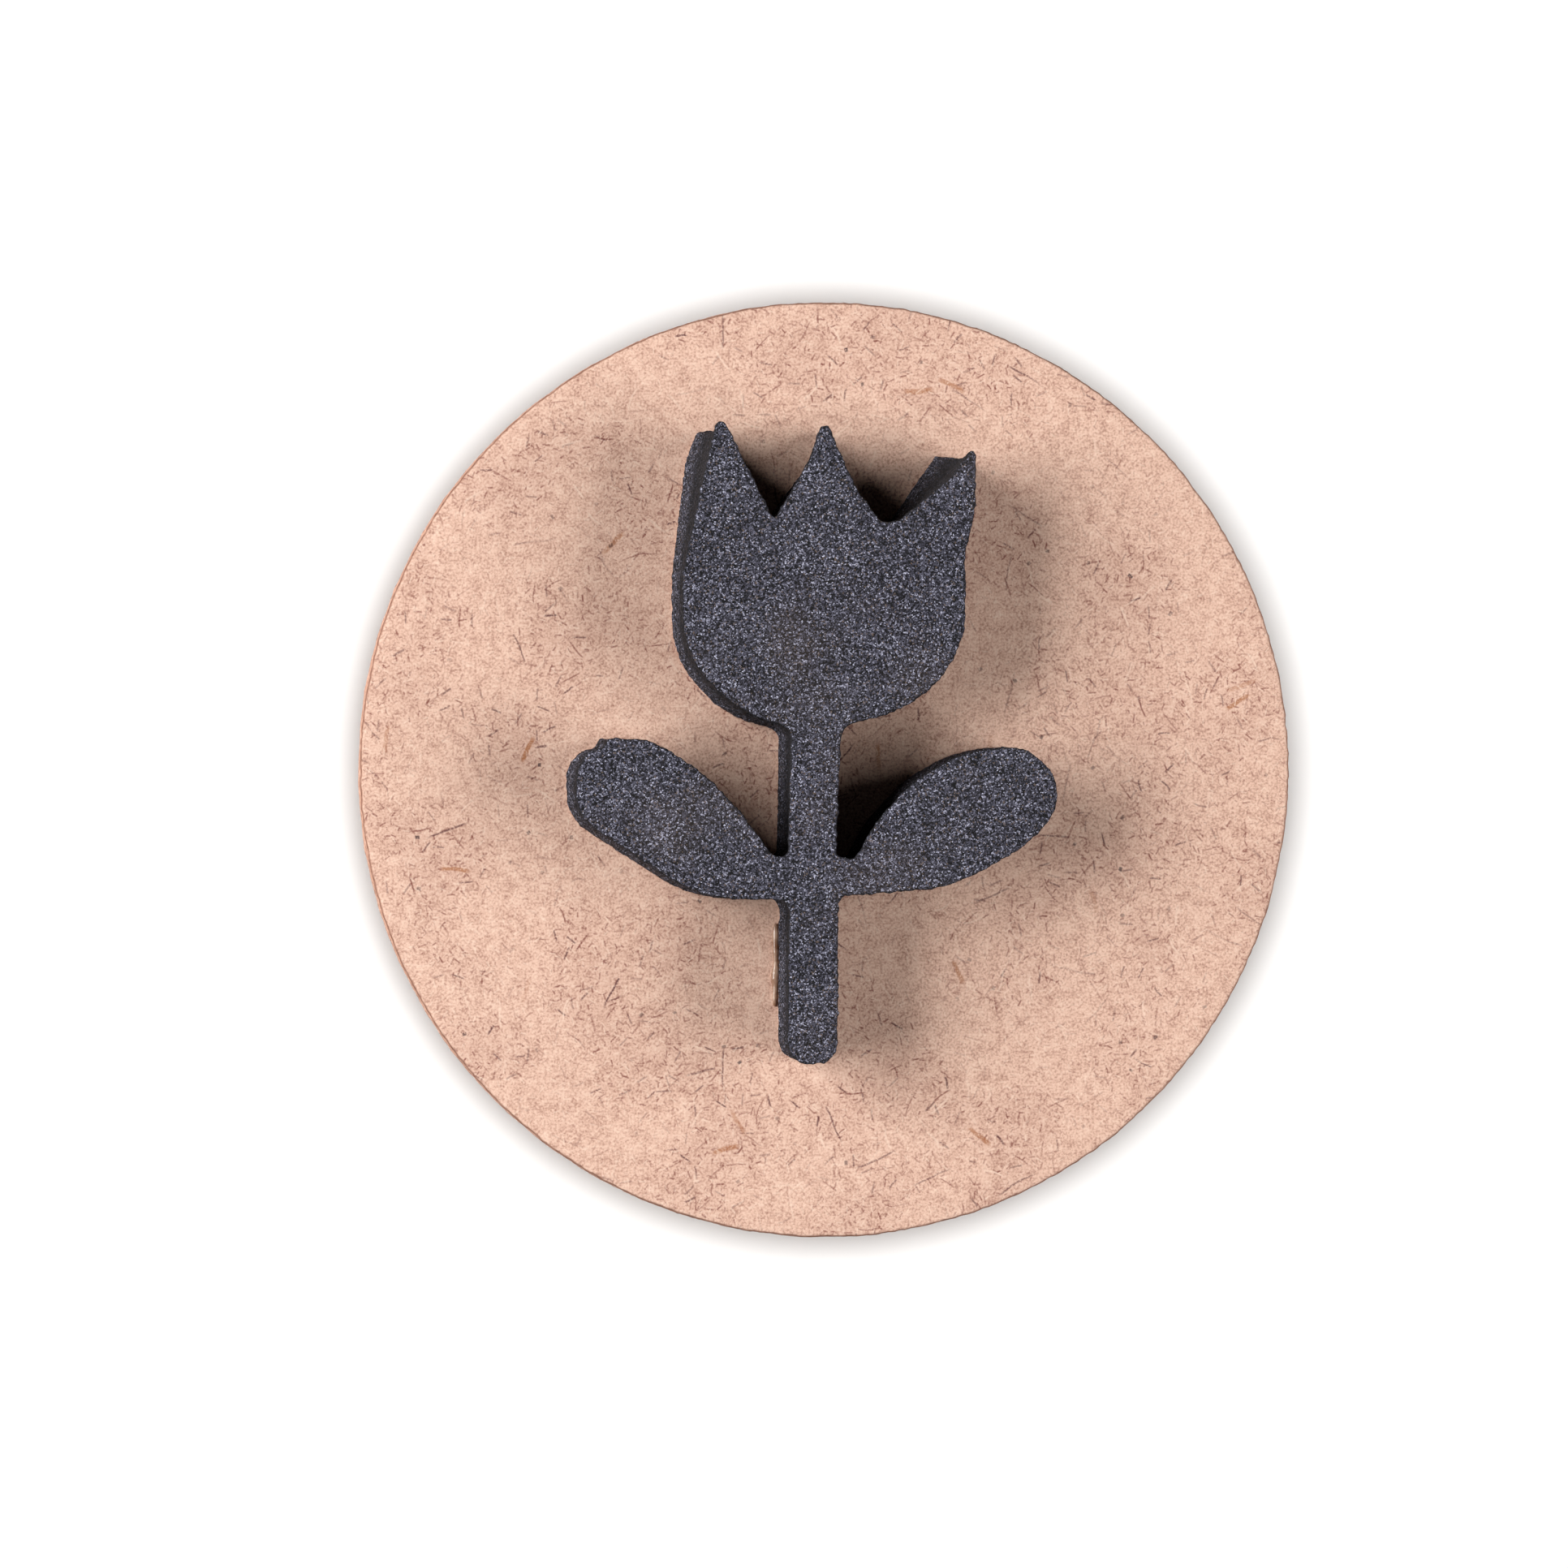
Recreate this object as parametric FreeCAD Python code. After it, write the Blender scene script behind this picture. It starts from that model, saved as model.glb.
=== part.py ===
import FreeCAD, Part
import math
import os

# Foam stamp: a soft foam tulip glued to a round board, with a turned knob to hold it by.
# Millimetres, +Z up. The stamp stands on the flat end of its knob with the foam face up.
# The origin is the middle of that flat end, on the axis of the board. +Y is towards the petals.

# Knob, from the end that it stands on up to the glued seat
knob_end_diameter = 19.0        # flat end
knob_grip_diameter = 28.0       # widest place
knob_waist_diameter = 15.0      # narrowest place
knob_seat_diameter = 20.0       # foot that is glued to the board
knob_grip_height = 7.5          # flat end to the widest place
knob_neck_height = 7.5          # widest place to the waist
knob_cove_height = 3.5          # waist to the foot
knob_land_height = 1.5          # straight rim of the foot

# Glue layers
knob_glue_thickness = 0.2
knob_bead_width = 0.9           # glue squeezed out round the foot
knob_bead_height = 0.7
foam_glue_thickness = 0.2
stem_bead_radius = 0.5          # glue squeezed out along the stem
stem_bead_length = 6.6
stem_bead_from_foot = 4.6       # foot of the stem to the near end of the bead

# Round board
disc_diameter = 75.0
disc_thickness = 3.0
disc_edge_break = 0.2           # small bevel on both rims

# Foam tulip: stem
foam_height = 7.0
stem_axis_x = -1.75             # the tulip was glued down a little off the middle
stem_foot_y = -23.4
stem_width = 4.2
stem_length = 26.2              # foot of the stem to the lowest point of the cup
stem_foot_radius = 1.9

# Foam tulip: cup and petals, with heights counted from the lowest point of the cup
cup_shift = 0.85                # axis of the cup, right of the axis of the stem
cup_width = 22.8
cup_keel_radius = 2.0           # lowest point of the cup, inside the stem
cup_bowl_height = 3.4           # where the sloping bottom meets the sides
cup_bowl_radius = 8.0
cup_flank_height = 14.1         # where the sides start to lean
cup_flank_radius = 8.0
left_notch_reach = 4.1          # bottom of the left notch, out from the axis of the cup
left_notch_height = 17.3
left_notch_radius = 0.3
right_notch_reach = 4.95
right_notch_height = 16.7
right_notch_radius = 1.1
left_tip_reach = 8.8            # tip of the left petal, out from the axis of the cup
left_tip_height = 24.6
left_tip_width = 1.9
centre_tip_height = 24.7
centre_tip_width = 0.8
right_tip_reach = 12.2          # outer corner of the right petal's blunt end
right_tip_height = 22.2
right_tip_width = 1.9
petal_tip_radius = 0.5

# Foam tulip: leaves, with heights counted from the lower side of the leaf at the stem
leaf_root_y = -10.2
leaf_root_height = 3.2          # how much of the stem each leaf holds
leaf_heel_reach = 10.0          # where the lower side turns up, out from the axis of the stem
leaf_heel_radius = 14.0
left_leaf_reach = 18.9          # outermost point, out from the axis of the stem
right_leaf_reach = 19.65
leaf_tip_low = 6.1              # lower corner of the rounded end
leaf_tip_height = 12.3          # upper corner of the rounded end
leaf_tip_radius = 3.2
leaf_crown_reach = 9.4          # where the upper side turns down to the stem
leaf_crown_height = 12.0
leaf_crown_radius = 12.5
leaf_armpit_radius = 0.5        # bottom of the gap beside the stem

# Levels
knob_height = knob_grip_height + knob_neck_height + knob_cove_height + knob_land_height
disc_bottom = knob_height + knob_glue_thickness
disc_top = disc_bottom + disc_thickness
foam_bottom = disc_top + foam_glue_thickness
cup_axis_x = stem_axis_x + cup_shift
cup_bottom_y = stem_foot_y + stem_length

axis_up = FreeCAD.Vector(0, 0, 1)
origin = FreeCAD.Vector(0, 0, 0)
round_handle = 0.5523           # length of a curve's handles that makes a quarter turn round


def point(x, y, z=0.0):
    return FreeCAD.Vector(x, y, z)


def line(start, end):
    return Part.LineSegment(start, end).toShape()


def curve(start, start_handle, end_handle, end):
    bezier = Part.BezierCurve()
    bezier.setPoles([start, start_handle, end_handle, end])
    return bezier.toShape()


def between(start, end, share):
    return start + (end - start) * share


def quarter(start, corner, end):
    """A quarter turn that leaves start towards corner and arrives at end from corner."""
    return curve(start, between(start, corner, round_handle), between(end, corner, round_handle), end)


def turned(edges):
    """The solid that a closed profile in the XZ plane makes when it turns about the Z axis."""
    return Part.Face(Part.Wire(edges)).revolve(origin, axis_up, 360)


def rounded_outline(corners):
    """A closed wire through (x, y, radius) corners, each corner an arc tangent to both its sides."""
    places = [point(x, y) for x, y, radius in corners]
    edges = []
    last_end = None
    first_start = None
    for index, (x, y, radius) in enumerate(corners):
        here = places[index]
        back = places[index - 1] - here
        ahead = places[(index + 1) % len(corners)] - here
        half_angle = back.getAngle(ahead) / 2
        # An arc takes at most half of the shorter side, so neighbouring arcs never cross.
        reach = min(radius / math.tan(half_angle), back.Length / 2, ahead.Length / 2)
        back.normalize()
        ahead.normalize()
        start = here + back * reach
        end = here + ahead * reach
        bisector = back + ahead
        bisector.normalize()
        to_centre = reach / math.cos(half_angle)
        middle = here + bisector * (to_centre - reach * math.tan(half_angle))
        if last_end is None:
            first_start = start
        elif last_end.distanceToPoint(start) > 1e-6:
            edges.append(line(last_end, start))
        edges.append(Part.Arc(start, middle, end).toShape())
        last_end = end
    if last_end.distanceToPoint(first_start) > 1e-6:
        edges.append(line(last_end, first_start))
    return Part.Wire(edges)


def slab(corners, bottom, height):
    """A straight-walled solid over a rounded outline."""
    face = Part.Face(rounded_outline(corners))
    face.translate(point(0, 0, bottom))
    return face.extrude(point(0, 0, height))


def stem_corners():
    left = stem_axis_x - stem_width / 2
    right = stem_axis_x + stem_width / 2
    inside_cup = cup_bottom_y + cup_bowl_radius / 2
    return [
        (left, stem_foot_y, stem_foot_radius),
        (right, stem_foot_y, stem_foot_radius),
        (right, inside_cup, petal_tip_radius),
        (left, inside_cup, petal_tip_radius),
    ]


def cup_corners():
    left = cup_axis_x - cup_width / 2
    right = cup_axis_x + cup_width / 2
    bowl_y = cup_bottom_y + cup_bowl_height
    flank_y = cup_bottom_y + cup_flank_height
    left_tip_x = cup_axis_x - left_tip_reach
    left_tip_y = cup_bottom_y + left_tip_height
    centre_tip_y = cup_bottom_y + centre_tip_height
    right_tip_x = cup_axis_x + right_tip_reach
    right_tip_y = cup_bottom_y + right_tip_height
    return [
        (cup_axis_x, cup_bottom_y, cup_keel_radius),
        (right, bowl_y, cup_bowl_radius),
        (right, flank_y, cup_flank_radius),
        (right_tip_x, right_tip_y, petal_tip_radius),
        (right_tip_x - right_tip_width, right_tip_y, petal_tip_radius),
        (cup_axis_x + right_notch_reach, cup_bottom_y + right_notch_height, right_notch_radius),
        (cup_axis_x + centre_tip_width / 2, centre_tip_y, petal_tip_radius),
        (cup_axis_x - centre_tip_width / 2, centre_tip_y, petal_tip_radius),
        (cup_axis_x - left_notch_reach, cup_bottom_y + left_notch_height, left_notch_radius),
        (left_tip_x + left_tip_width / 2, left_tip_y, petal_tip_radius),
        (left_tip_x - left_tip_width / 2, left_tip_y, petal_tip_radius),
        (left, flank_y, cup_flank_radius),
        (left, bowl_y, cup_bowl_radius),
    ]


def leaf_corners(side, reach):
    """Corners of one leaf, with side 1 for the right leaf and -1 for the left leaf."""
    armpit_y = leaf_root_y + leaf_root_height
    armpit_x = stem_width / 2 + leaf_armpit_radius
    corners = [
        (0.0, leaf_root_y, leaf_armpit_radius),
        (leaf_heel_reach, leaf_root_y, leaf_heel_radius),
        (reach, leaf_root_y + leaf_tip_low, leaf_tip_radius),
        (reach, leaf_root_y + leaf_tip_height, leaf_tip_radius),
        (leaf_crown_reach, leaf_root_y + leaf_crown_height, leaf_crown_radius),
        (armpit_x, armpit_y, leaf_armpit_radius),
        (0.0, armpit_y, leaf_armpit_radius),
    ]
    return [(stem_axis_x + side * x, y, radius) for x, y, radius in corners]


def tulip(bottom, height):
    cup = slab(cup_corners(), bottom, height)
    others = [
        slab(stem_corners(), bottom, height),
        slab(leaf_corners(1, right_leaf_reach), bottom, height),
        slab(leaf_corners(-1, left_leaf_reach), bottom, height),
    ]
    return cup.fuse(others).removeSplitter()


def make_foam_tulip():
    return tulip(foam_bottom, foam_height)


def make_foam_glue():
    """Thin layer under the whole tulip, and the bead squeezed out on the left of the stem."""
    layer = tulip(disc_top, foam_glue_thickness)
    bead_x = stem_axis_x - stem_width / 2
    bead_start = point(bead_x, stem_foot_y + stem_bead_from_foot + stem_bead_radius, disc_top)
    straight = stem_bead_length - 2 * stem_bead_radius
    rod = Part.makeCylinder(stem_bead_radius, straight, bead_start, point(0, 1, 0))
    near_end = Part.makeSphere(stem_bead_radius, bead_start)
    far_end = Part.makeSphere(stem_bead_radius, bead_start + point(0, straight, 0))
    bead = rod.fuse([near_end, far_end]).cut([make_foam_tulip(), make_mdf_disc()])
    return layer.fuse(bead).removeSplitter()


def make_mdf_disc():
    radius = disc_diameter / 2
    corners = [
        point(0, 0, disc_bottom),
        point(radius - disc_edge_break, 0, disc_bottom),
        point(radius, 0, disc_bottom + disc_edge_break),
        point(radius, 0, disc_top - disc_edge_break),
        point(radius - disc_edge_break, 0, disc_top),
        point(0, 0, disc_top),
    ]
    edges = [line(corners[index - 1], corners[index]) for index in range(len(corners))]
    return turned(edges)


def make_knob_glue():
    """Thin layer between the foot and the board, and the ring squeezed out round the foot."""
    seat = knob_seat_diameter / 2
    outer = seat + knob_bead_width
    bead_bottom = point(seat, 0, knob_height - knob_bead_height)
    bead_corner = point(seat, 0, disc_bottom)
    bead_out = point(outer, 0, disc_bottom)
    edges = [
        line(point(0, 0, knob_height), point(seat, 0, knob_height)),
        line(point(seat, 0, knob_height), bead_bottom),
        quarter(bead_bottom, bead_corner, bead_out),
        line(bead_out, point(0, 0, disc_bottom)),
        line(point(0, 0, disc_bottom), point(0, 0, knob_height)),
    ]
    return turned(edges)


def make_knob():
    """Turned knob: flat end, round grip, waist, hollow cove and straight foot."""
    end = knob_end_diameter / 2
    grip = knob_grip_diameter / 2
    waist = knob_waist_diameter / 2
    seat = knob_seat_diameter / 2
    grip_z = knob_grip_height
    waist_z = grip_z + knob_neck_height
    foot_z = waist_z + knob_cove_height
    widest = point(grip, 0, grip_z)
    narrowest = point(waist, 0, waist_z)
    foot = point(seat, 0, foot_z)
    rim = point(seat, 0, knob_height)
    handle = knob_neck_height * round_handle
    edges = [
        line(origin, point(end, 0, 0)),
        quarter(point(end, 0, 0), point(grip, 0, 0), widest),
        curve(widest, widest + point(0, 0, handle), narrowest - point(0, 0, handle), narrowest),
        quarter(narrowest, point(waist, 0, foot_z), foot),
        line(foot, rim),
        line(rim, point(0, 0, knob_height)),
        line(point(0, 0, knob_height), origin),
    ]
    return turned(edges)


def main():
    os.makedirs("parts", exist_ok=True)
    nodes = {
        "foam_tulip": make_foam_tulip(),
        "foam_glue": make_foam_glue(),
        "mdf_disc": make_mdf_disc(),
        "knob_glue": make_knob_glue(),
        "knob": make_knob(),
    }
    for name, shape in nodes.items():
        box = shape.BoundBox
        print(name, shape.ShapeType, "solids", len(shape.Solids), "valid", shape.isValid(),
              "volume", round(shape.Volume, 1), "x", round(box.XMin, 2), round(box.XMax, 2),
              "y", round(box.YMin, 2), round(box.YMax, 2), "z", round(box.ZMin, 2), round(box.ZMax, 2))
        shape.exportStep("parts/" + name + ".step")


main()
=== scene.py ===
"""Foam stamp: a tulip cut from black foam, glued to a round fibreboard with a turned beech knob behind.

Shapes and patterns are worked out in millimetres. Settings, meshes, lights and the camera are in metres.
"""

import math
from functools import partial

import bpy
import numpy as np
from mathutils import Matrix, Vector


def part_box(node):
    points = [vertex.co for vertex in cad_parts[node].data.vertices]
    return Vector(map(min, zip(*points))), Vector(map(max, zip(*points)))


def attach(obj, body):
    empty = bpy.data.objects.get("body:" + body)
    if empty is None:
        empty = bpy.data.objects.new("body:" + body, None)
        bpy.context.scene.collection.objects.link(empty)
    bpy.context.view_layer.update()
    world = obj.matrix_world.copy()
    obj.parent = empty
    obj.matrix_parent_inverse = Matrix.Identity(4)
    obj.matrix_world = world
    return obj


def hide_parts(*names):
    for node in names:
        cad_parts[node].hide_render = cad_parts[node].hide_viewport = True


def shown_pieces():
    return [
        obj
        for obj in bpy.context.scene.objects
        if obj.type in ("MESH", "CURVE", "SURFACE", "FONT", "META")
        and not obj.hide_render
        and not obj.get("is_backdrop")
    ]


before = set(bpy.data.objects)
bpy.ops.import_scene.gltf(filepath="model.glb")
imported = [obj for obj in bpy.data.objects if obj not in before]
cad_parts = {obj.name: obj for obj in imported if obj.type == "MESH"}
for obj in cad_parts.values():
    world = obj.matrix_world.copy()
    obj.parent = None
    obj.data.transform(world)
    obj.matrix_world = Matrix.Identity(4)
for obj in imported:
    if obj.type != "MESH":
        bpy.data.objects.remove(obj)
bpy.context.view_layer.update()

bl_info = {
    "name": "Foam stamp",
    "version": (1, 0, 0),
    "blender": (4, 5, 0),
    "location": "View3D > Sidebar > Foam stamp",
    "description": "Builds a foam tulip stamp on a round board with a turned knob, and its studio",
    "category": "Object",
}

MM = 0.001

# Corners of the tulip, clockwise round it, in millimetres: x and y of the corner on the printing face, how
# far the same corner lies off that at the board in x and in y, and the radius that rounds it.
TULIP_CORNERS = (
    # foot and left side of the stem
    (-3.98, -23.45, 0.05, 0.10, 1.8),
    (-3.88, -10.35, -0.02, 0.0, 0.8),
    # left leaf
    (-10.7, -10.35, -0.1, -0.1, 14.0),
    (-20.75, -3.70, -0.22, -0.15, 5.0),
    (-20.75, 0.10, -0.26, 0.0, 2.5),
    (-19.70, 1.50, -0.22, 0.0, 1.6),
    (-18.50, 1.85, -0.1, 0.0, 0.15),
    (-18.30, 2.55, -0.1, 0.0, 0.4),
    (-14.40, 2.40, 0.1, 0.0, 10.0),
    (-9.30, -1.15, 0.1, 0.0, 20.0),
    (-5.00, -6.80, 0.0, 0.0, 0.6),
    (-3.92, -6.80, -0.18, 0.0, 0.4),
    # left side of the cup
    (-3.66, 3.20, -0.26, -0.1, 1.0),
    (-7.90, 4.65, -0.30, -0.35, 14.0),
    (-12.25, 9.00, -0.26, -0.20, 14.0),
    (-12.35, 15.60, -0.18, 0.0, 14.0),
    # left petal, left notch, middle petal
    (-10.25, 24.80, -1.18, 0.0, 6.0),
    (-9.60, 27.60, -0.95, -0.60, 0.45),
    (-8.80, 27.60, -0.35, -0.35, 0.4),
    (-4.95, 19.90, 0.0, 0.0, 0.2),
    (-2.15, 24.70, 0.6, -0.2, 10.0),
    (-1.35, 27.40, 0.6, -0.3, 0.45),
    (-0.60, 27.40, 0.1, -0.3, 0.35),
    (1.50, 22.60, -0.1, 0.0, 10.0),
    # right notch and right petal
    (3.65, 19.60, 0.0, 0.1, 1.0),
    (4.95, 19.85, 0.2, 0.1, 1.0),
    (9.20, 23.20, -0.85, 1.5, 6.0),
    (10.75, 25.40, -2.05, -0.20, 0.25),
    (11.20, 25.40, 0.0, -0.40, 0.25),
    (11.25, 20.60, -0.1, 0.0, 6.0),
    # right side of the cup
    (10.38, 17.40, 0.0, 0.0, 6.0),
    (10.42, 9.55, 0.0, 0.0, 10.0),
    (6.30, 4.90, 0.0, 0.0, 14.0),
    (0.48, 3.40, 0.0, 0.0, 1.4),
    # right leaf
    (0.04, -7.00, 0.0, 0.0, 0.5),
    (1.55, -6.95, 0.0, 0.0, 0.6),
    (2.80, -4.50, 0.0, 0.0, 8.0),
    (6.20, -0.75, 0.0, 0.0, 10.0),
    (10.40, 1.55, 0.0, 0.0, 10.0),
    (15.20, 2.00, 0.0, 0.0, 4.0),
    (17.85, -0.60, 0.0, 0.0, 4.0),
    (17.62, -3.60, 0.0, 0.0, 4.0),
    (15.40, -6.00, 0.0, 0.0, 9.0),
    (9.40, -9.40, 0.0, 0.0, 12.0),
    (0.22, -10.15, -0.1, 0.0, 0.7),
    # right side of the stem
    (0.18, -23.35, -0.2, 0.05, 1.7),
)
# The whole tulip sits this far to the right of the board's middle.
TULIP_SHIFT = -0.13
# Primes that mix the three numbers of a lattice point into one place in a table of random numbers.
LATTICE_PRIMES = (73856093, 19349663, 83492791)


# Shapes

def span(node, axis):
    """Lowest and highest place of a CAD node along one axis, in millimetres."""
    low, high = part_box(node)
    return low[axis] / MM, high[axis] / MM


def rounded_outline(corner_x, corner_y, radii, steps):
    """Closed outline through corners, each rounded by an arc.

    The arc touches both sides of its corner. Its centre lies on the line that halves the angle, and its
    points turn in even steps from one touching point to the other. An arc takes up to half of a side.
    """
    corner = np.column_stack([corner_x, corner_y])
    back = np.roll(corner, 1, axis=0) - corner
    ahead = np.roll(corner, -1, axis=0) - corner
    back_length = np.linalg.norm(back, axis=1)
    ahead_length = np.linalg.norm(ahead, axis=1)
    back = back / back_length[:, None]
    ahead = ahead / ahead_length[:, None]
    half_angle = np.arccos(np.clip((back * ahead).sum(axis=1), -1, 1)) / 2
    reach = np.minimum(radii / np.tan(half_angle), 0.5 * np.minimum(back_length, ahead_length))
    radius = reach * np.tan(half_angle)
    middle = back + ahead
    middle = middle / np.linalg.norm(middle, axis=1)[:, None]
    centre = corner + middle * (radius / np.sin(half_angle))[:, None]
    first = corner + back * reach[:, None] - centre
    last = corner + ahead * reach[:, None] - centre
    turn = (math.pi - 2 * half_angle)[:, None, None]
    part = np.linspace(0, 1, steps)[None, :, None]
    from_first = first[:, None] * np.sin((1 - part) * turn)
    from_last = last[:, None] * np.sin(part * turn)
    arc = (from_first + from_last) / np.sin(turn)
    return (centre[:, None] + arc).reshape(-1, 2)


def tulip_outline(part, steps=12):
    """Outline of the tulip at a part of its height, from 0 at the board to 1 on the printing face.

    Each corner lies on the straight line between its place at the board and its place on the face.
    """
    corner_x, corner_y, off_x, off_y, radii = np.array(TULIP_CORNERS).T
    here_x = corner_x + (1 - part) * off_x + TULIP_SHIFT
    here_y = corner_y + (1 - part) * off_y
    return rounded_outline(here_x, here_y, radii, steps)


def outward(outline):
    """Unit normal at each point of a closed outline that runs clockwise, pointing away from the inside."""
    along = np.roll(outline, -1, axis=0) - np.roll(outline, 1, axis=0)
    along = along / np.maximum(np.linalg.norm(along, axis=1), 1e-9)[:, None]
    return np.column_stack([-along[:, 1], along[:, 0]])


def value_noise(points, size, seed):
    """Smooth random number from -1 to 1 at each point.

    Random numbers stand on a cubic lattice of the given size. The eight round a point are blended with a
    smooth step along each axis.
    """
    table = np.random.default_rng(seed).uniform(-1, 1, 8192)
    place = points / size
    cell = np.floor(place).astype(np.int64)
    part = place - cell
    part = part * part * (3 - 2 * part)
    total = np.zeros(len(points))
    for corner in np.ndindex(2, 2, 2):
        at = cell + np.array(corner)
        key = np.bitwise_xor.reduce(at * np.array(LATTICE_PRIMES), axis=1)
        share = np.prod(np.where(corner, part, 1 - part), axis=1)
        total += share * table[key % len(table)]
    return total


def layered_noise(points, layers, seed):
    """Sum of smooth noises, each given by its share and its size, and drawn from the next seed."""
    total = np.zeros(len(points))
    for number, (share, size) in enumerate(layers):
        total += share * value_noise(points, size, seed + number)
    return total


def skin(rings, flat_ends=False):
    """Points and faces of a closed skin over a stack of rings, an array of ring by point by x, y, z.

    Each ring is joined to the next by four-sided faces. The first and last ring are each closed by one flat
    face, or by triangles that meet in the middle of the ring.
    """
    count, around, _ = rings.shape
    points = rings.reshape(-1, 3)
    here = np.arange(around)
    following = np.roll(here, -1)
    row = np.arange(count - 1)[:, None] * around
    sides = np.stack([row + here, row + following, row + around + following, row + around + here], axis=-1)
    top = (count - 1) * around
    if flat_ends:
        return points, [sides.reshape(-1, 4), here[None, ::-1], top + here[None]]
    points = np.vstack([points, rings[[0, -1]].mean(axis=1)])
    low_pole = np.full(around, count * around)
    low_end = np.column_stack([following, here, low_pole])
    high_end = np.column_stack([top + here, top + following, low_pole + 1])
    return points, [sides.reshape(-1, 4), low_end, high_end]


def new_mesh(name, *skins):
    """One mesh of several skins in millimetres, each given as its points and a list of face arrays."""
    points = np.vstack([skin_points for skin_points, _ in skins])
    faces = []
    start = 0
    for skin_points, face_arrays in skins:
        for corners in face_arrays:
            faces += (corners + start).tolist()
        start += len(skin_points)
    mesh = bpy.data.meshes.new(name)
    mesh.from_pydata((points * MM).tolist(), [], faces)
    mesh.validate()
    return mesh


def turned_rings(radius, height, around):
    """Rings of a turned shape: the profile's radius and height, carried once round the upright axis."""
    angle = np.linspace(0, 2 * math.pi, around, endpoint=False)
    radius = np.asarray(radius)[:, None]
    upright = np.broadcast_to(np.asarray(height)[:, None], (len(height), around))
    return np.stack([radius * np.cos(angle), radius * np.sin(angle), upright], axis=-1)


def widened(rings, growth):
    """The rings with each point moved away from the upright axis by its own growth."""
    reach = np.hypot(rings[..., 0], rings[..., 1])
    scale = 1 + growth / reach
    return rings * np.stack([scale, scale, np.ones(scale.shape)], axis=-1)


def remeshed(mesh, name, voxel):
    """A new mesh that covers the same body with even cells."""
    holder = placed(name, mesh)
    holder.modifiers.new("Remesh", "REMESH").voxel_size = voxel
    result = bpy.data.meshes.new_from_object(holder.evaluated_get(bpy.context.evaluated_depsgraph_get()))
    bpy.data.objects.remove(holder)
    result.name = name
    return result


def vertex_array(items, attribute):
    """One vector attribute of a mesh's vertices, as an array with a row for each."""
    values = np.empty(len(items) * 3, dtype=np.float32)
    items.foreach_get(attribute, values)
    return values.reshape(-1, 3).astype(float)


def placed(name, data, location=(0.0, 0.0, 0.0), turn=(0.0, 0.0, 0.0)):
    """A new object in the scene for a mesh, light or camera."""
    holder = bpy.data.objects.new(name, data)
    holder.location = location
    holder.rotation_euler = turn
    bpy.context.scene.collection.objects.link(holder)
    return holder


def finish_piece(name, mesh, material, node, smooth_angle):
    """Puts a mesh into the scene as a finished piece that stands for its CAD node."""
    mesh.shade_smooth()
    mesh.set_sharp_from_angle(angle=smooth_angle)
    mesh.materials.append(material)
    piece = placed(name, mesh)
    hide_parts(node)
    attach(piece, "root")
    return piece


# Materials

# Inputs of a Mix node for colours, by place in its list, because their names repeat.
SHARE = 0
UNDER = 6
OVER = 7
# The setting of a Map Range node that eases in and out of its range.
SMOOTH = {"interpolation_type": "SMOOTHSTEP"}


def linear(hex_colour):
    """Linear colour with alpha from an sRGB hex value such as #c9a48f."""
    parts = [int(hex_colour[start:start + 2], 16) / 255 for start in (1, 3, 5)]
    return [((part + 0.055) / 1.055) ** 2.4 if part > 0.04045 else part / 12.92 for part in parts] + [1.0]


def set_inputs(node, inputs):
    """Sets inputs to plain values, or links them from a socket or from a node's first output in use."""
    for name, value in inputs.items():
        if isinstance(value, bpy.types.Node):
            value = next(output for output in value.outputs if output.enabled)
        if isinstance(value, bpy.types.NodeSocket):
            node.id_data.links.new(value, node.inputs[name])
        else:
            node.inputs[name].default_value = value


def add_node(tree, kind, inputs, stops=(), **settings):
    """Adds one shader node with its settings, the stops of its colour ramp, and its inputs."""
    node = tree.nodes.new("ShaderNode" + kind)
    for name, value in settings.items():
        setattr(node, name, value)
    for number, (position, colour) in enumerate(stops):
        ramp = node.color_ramp.elements
        element = ramp[number] if number < len(ramp) else ramp.new(1.0)
        element.position = position
        element.color = colour
    set_inputs(node, inputs)
    return node


def new_material(name):
    """An empty material, what adds a node to it, its shader, and the piece's own place in millimetres."""
    material = bpy.data.materials.new(name)
    material.use_nodes = True
    material.node_tree.nodes.clear()
    add = partial(add_node, material.node_tree)
    shader = add("BsdfPrincipled", {})
    add("OutputMaterial", {"Surface": shader})
    coordinates = add("TexCoord", {})
    place = add("Mapping", {"Vector": coordinates.outputs["Object"], "Scale": (1 / MM,) * 3})
    return material, add, shader, place


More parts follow.
